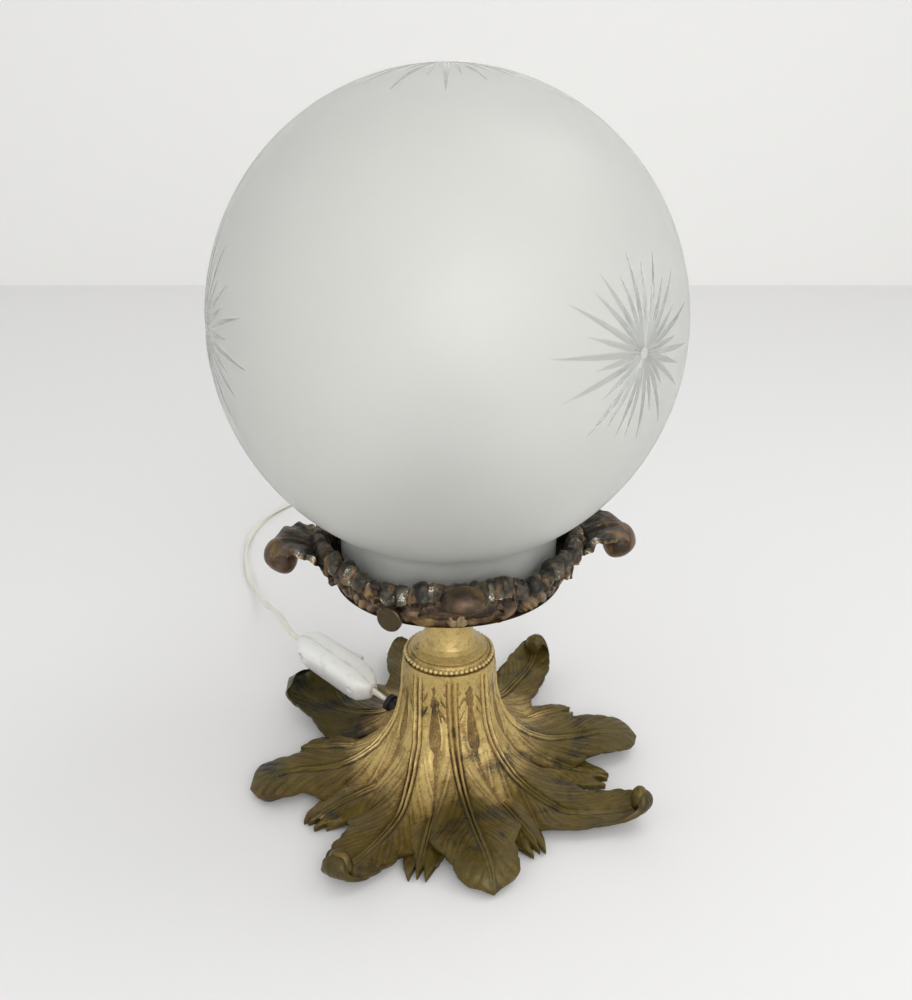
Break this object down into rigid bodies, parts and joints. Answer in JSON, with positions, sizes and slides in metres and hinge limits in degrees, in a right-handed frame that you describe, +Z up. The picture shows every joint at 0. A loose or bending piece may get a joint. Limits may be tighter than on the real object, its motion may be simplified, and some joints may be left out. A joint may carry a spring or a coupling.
{
  "type": "table lamp",
  "caption": "Table lamp: frosted cut-glass globe in a cast leaf gallery on a flared leaf foot, with a twin flex, an in-line rocker switch and a plug.",
  "frame": {"origin": "on the table, on the stem's axis, under the lamp", "axes": "+Z up along the stem, -Y towards the side that the picture shows, +X to its right"},
  "size_m": [0.314, 0.5525, 0.4035],
  "materials": {
    "gilt_bronze": "aged gilt with dark patina in the hollows",
    "dark_bronze": "dark brown patina with green and chalky flecks",
    "dark_brass": "dark brown, handled smooth",
    "zinc_steel": "zinc plated",
    "frosted_glass": "acid-etched outside, with polished cuts",
    "holder_brass": "drawn sheet, satin",
    "contact_brass": "plain",
    "ceramic": "glazed ceramic",
    "bulb_glass": "clear",
    "bulb_aluminium": "satin",
    "black_glass": "gloss",
    "tungsten": "drawn wire",
    "black_rubber": "matt",
    "flex_pvc": "satin PVC",
    "white_plastic": "moulded, satin",
    "nickel_brass": "nickel plated"
  },
  "bodies": {
    "lamp": {"base_casting": "gilt_bronze", "base_grommet": "black_rubber", "beaded_collar": "gilt_bronze", "clamp_nuts": "zinc_steel", "clamp_washers": "zinc_steel", "cord_coil": "flex_pvc", "cord_lead": "flex_pvc", "cord_run": "flex_pvc", "cord_tail": "flex_pvc", "gallery": "dark_bronze", "holder_cap": "holder_brass", "holder_contacts": "contact_brass", "holder_core": "ceramic", "holder_screws": "contact_brass", "holder_shell": "holder_brass", "holder_thread": "holder_brass", "inner_lead": "flex_pvc", "plug_body": "white_plastic", "plug_pins": "nickel_brass", "plug_relief": "white_plastic", "stem_neck": "gilt_bronze", "switch_base": "white_plastic", "switch_cover": "white_plastic", "switch_pin": "zinc_steel", "switch_screws": "zinc_steel", "switch_terminals": "contact_brass", "threaded_tube": "zinc_steel"},
    "globe": {"globe": "frosted_glass"},
    "bulb": {"bulb_cap": "bulb_aluminium", "bulb_contact": "contact_brass", "bulb_filament": "tungsten", "bulb_glass": "bulb_glass", "bulb_insulator": "black_glass", "bulb_stem": "bulb_glass"},
    "rocker": {"switch_rocker": "white_plastic"},
    "thumbscrew_front": {"thumbscrew_front": "dark_brass"},
    "thumbscrew_right": {"thumbscrew_right": "dark_brass"},
    "thumbscrew_back": {"thumbscrew_back": "dark_brass"}
  },
  "joints": [
    {"name": "globe_lift", "type": "slide", "parent": "lamp", "child": "globe", "axis": [0, 0, 1], "range_m": [0, 0.13]},
    {"name": "bulb_unscrew", "type": "slide", "parent": "lamp", "child": "bulb", "axis": [0, 0, 1], "range_m": [0, 0.024]},
    {"name": "thumbscrew_front_turn", "type": "slide", "parent": "lamp", "child": "thumbscrew_front", "axis": [-0.3907, -0.9205, 0], "range_m": [0, 0.006]},
    {"name": "thumbscrew_right_turn", "type": "slide", "parent": "lamp", "child": "thumbscrew_right", "axis": [0.9135, 0.4067, 0], "range_m": [0, 0.006]},
    {"name": "thumbscrew_back_turn", "type": "slide", "parent": "lamp", "child": "thumbscrew_back", "axis": [-0.8192, 0.5736, 0], "range_m": [0, 0.006]},
    {"name": "rocker_tilt", "type": "hinge", "parent": "lamp", "child": "rocker", "pos_m": [-0.06849, 0.04959, 0.03794], "axis": [0.0132, 0.4089, -0.9125], "range_deg": [0, 16]}
  ]
}
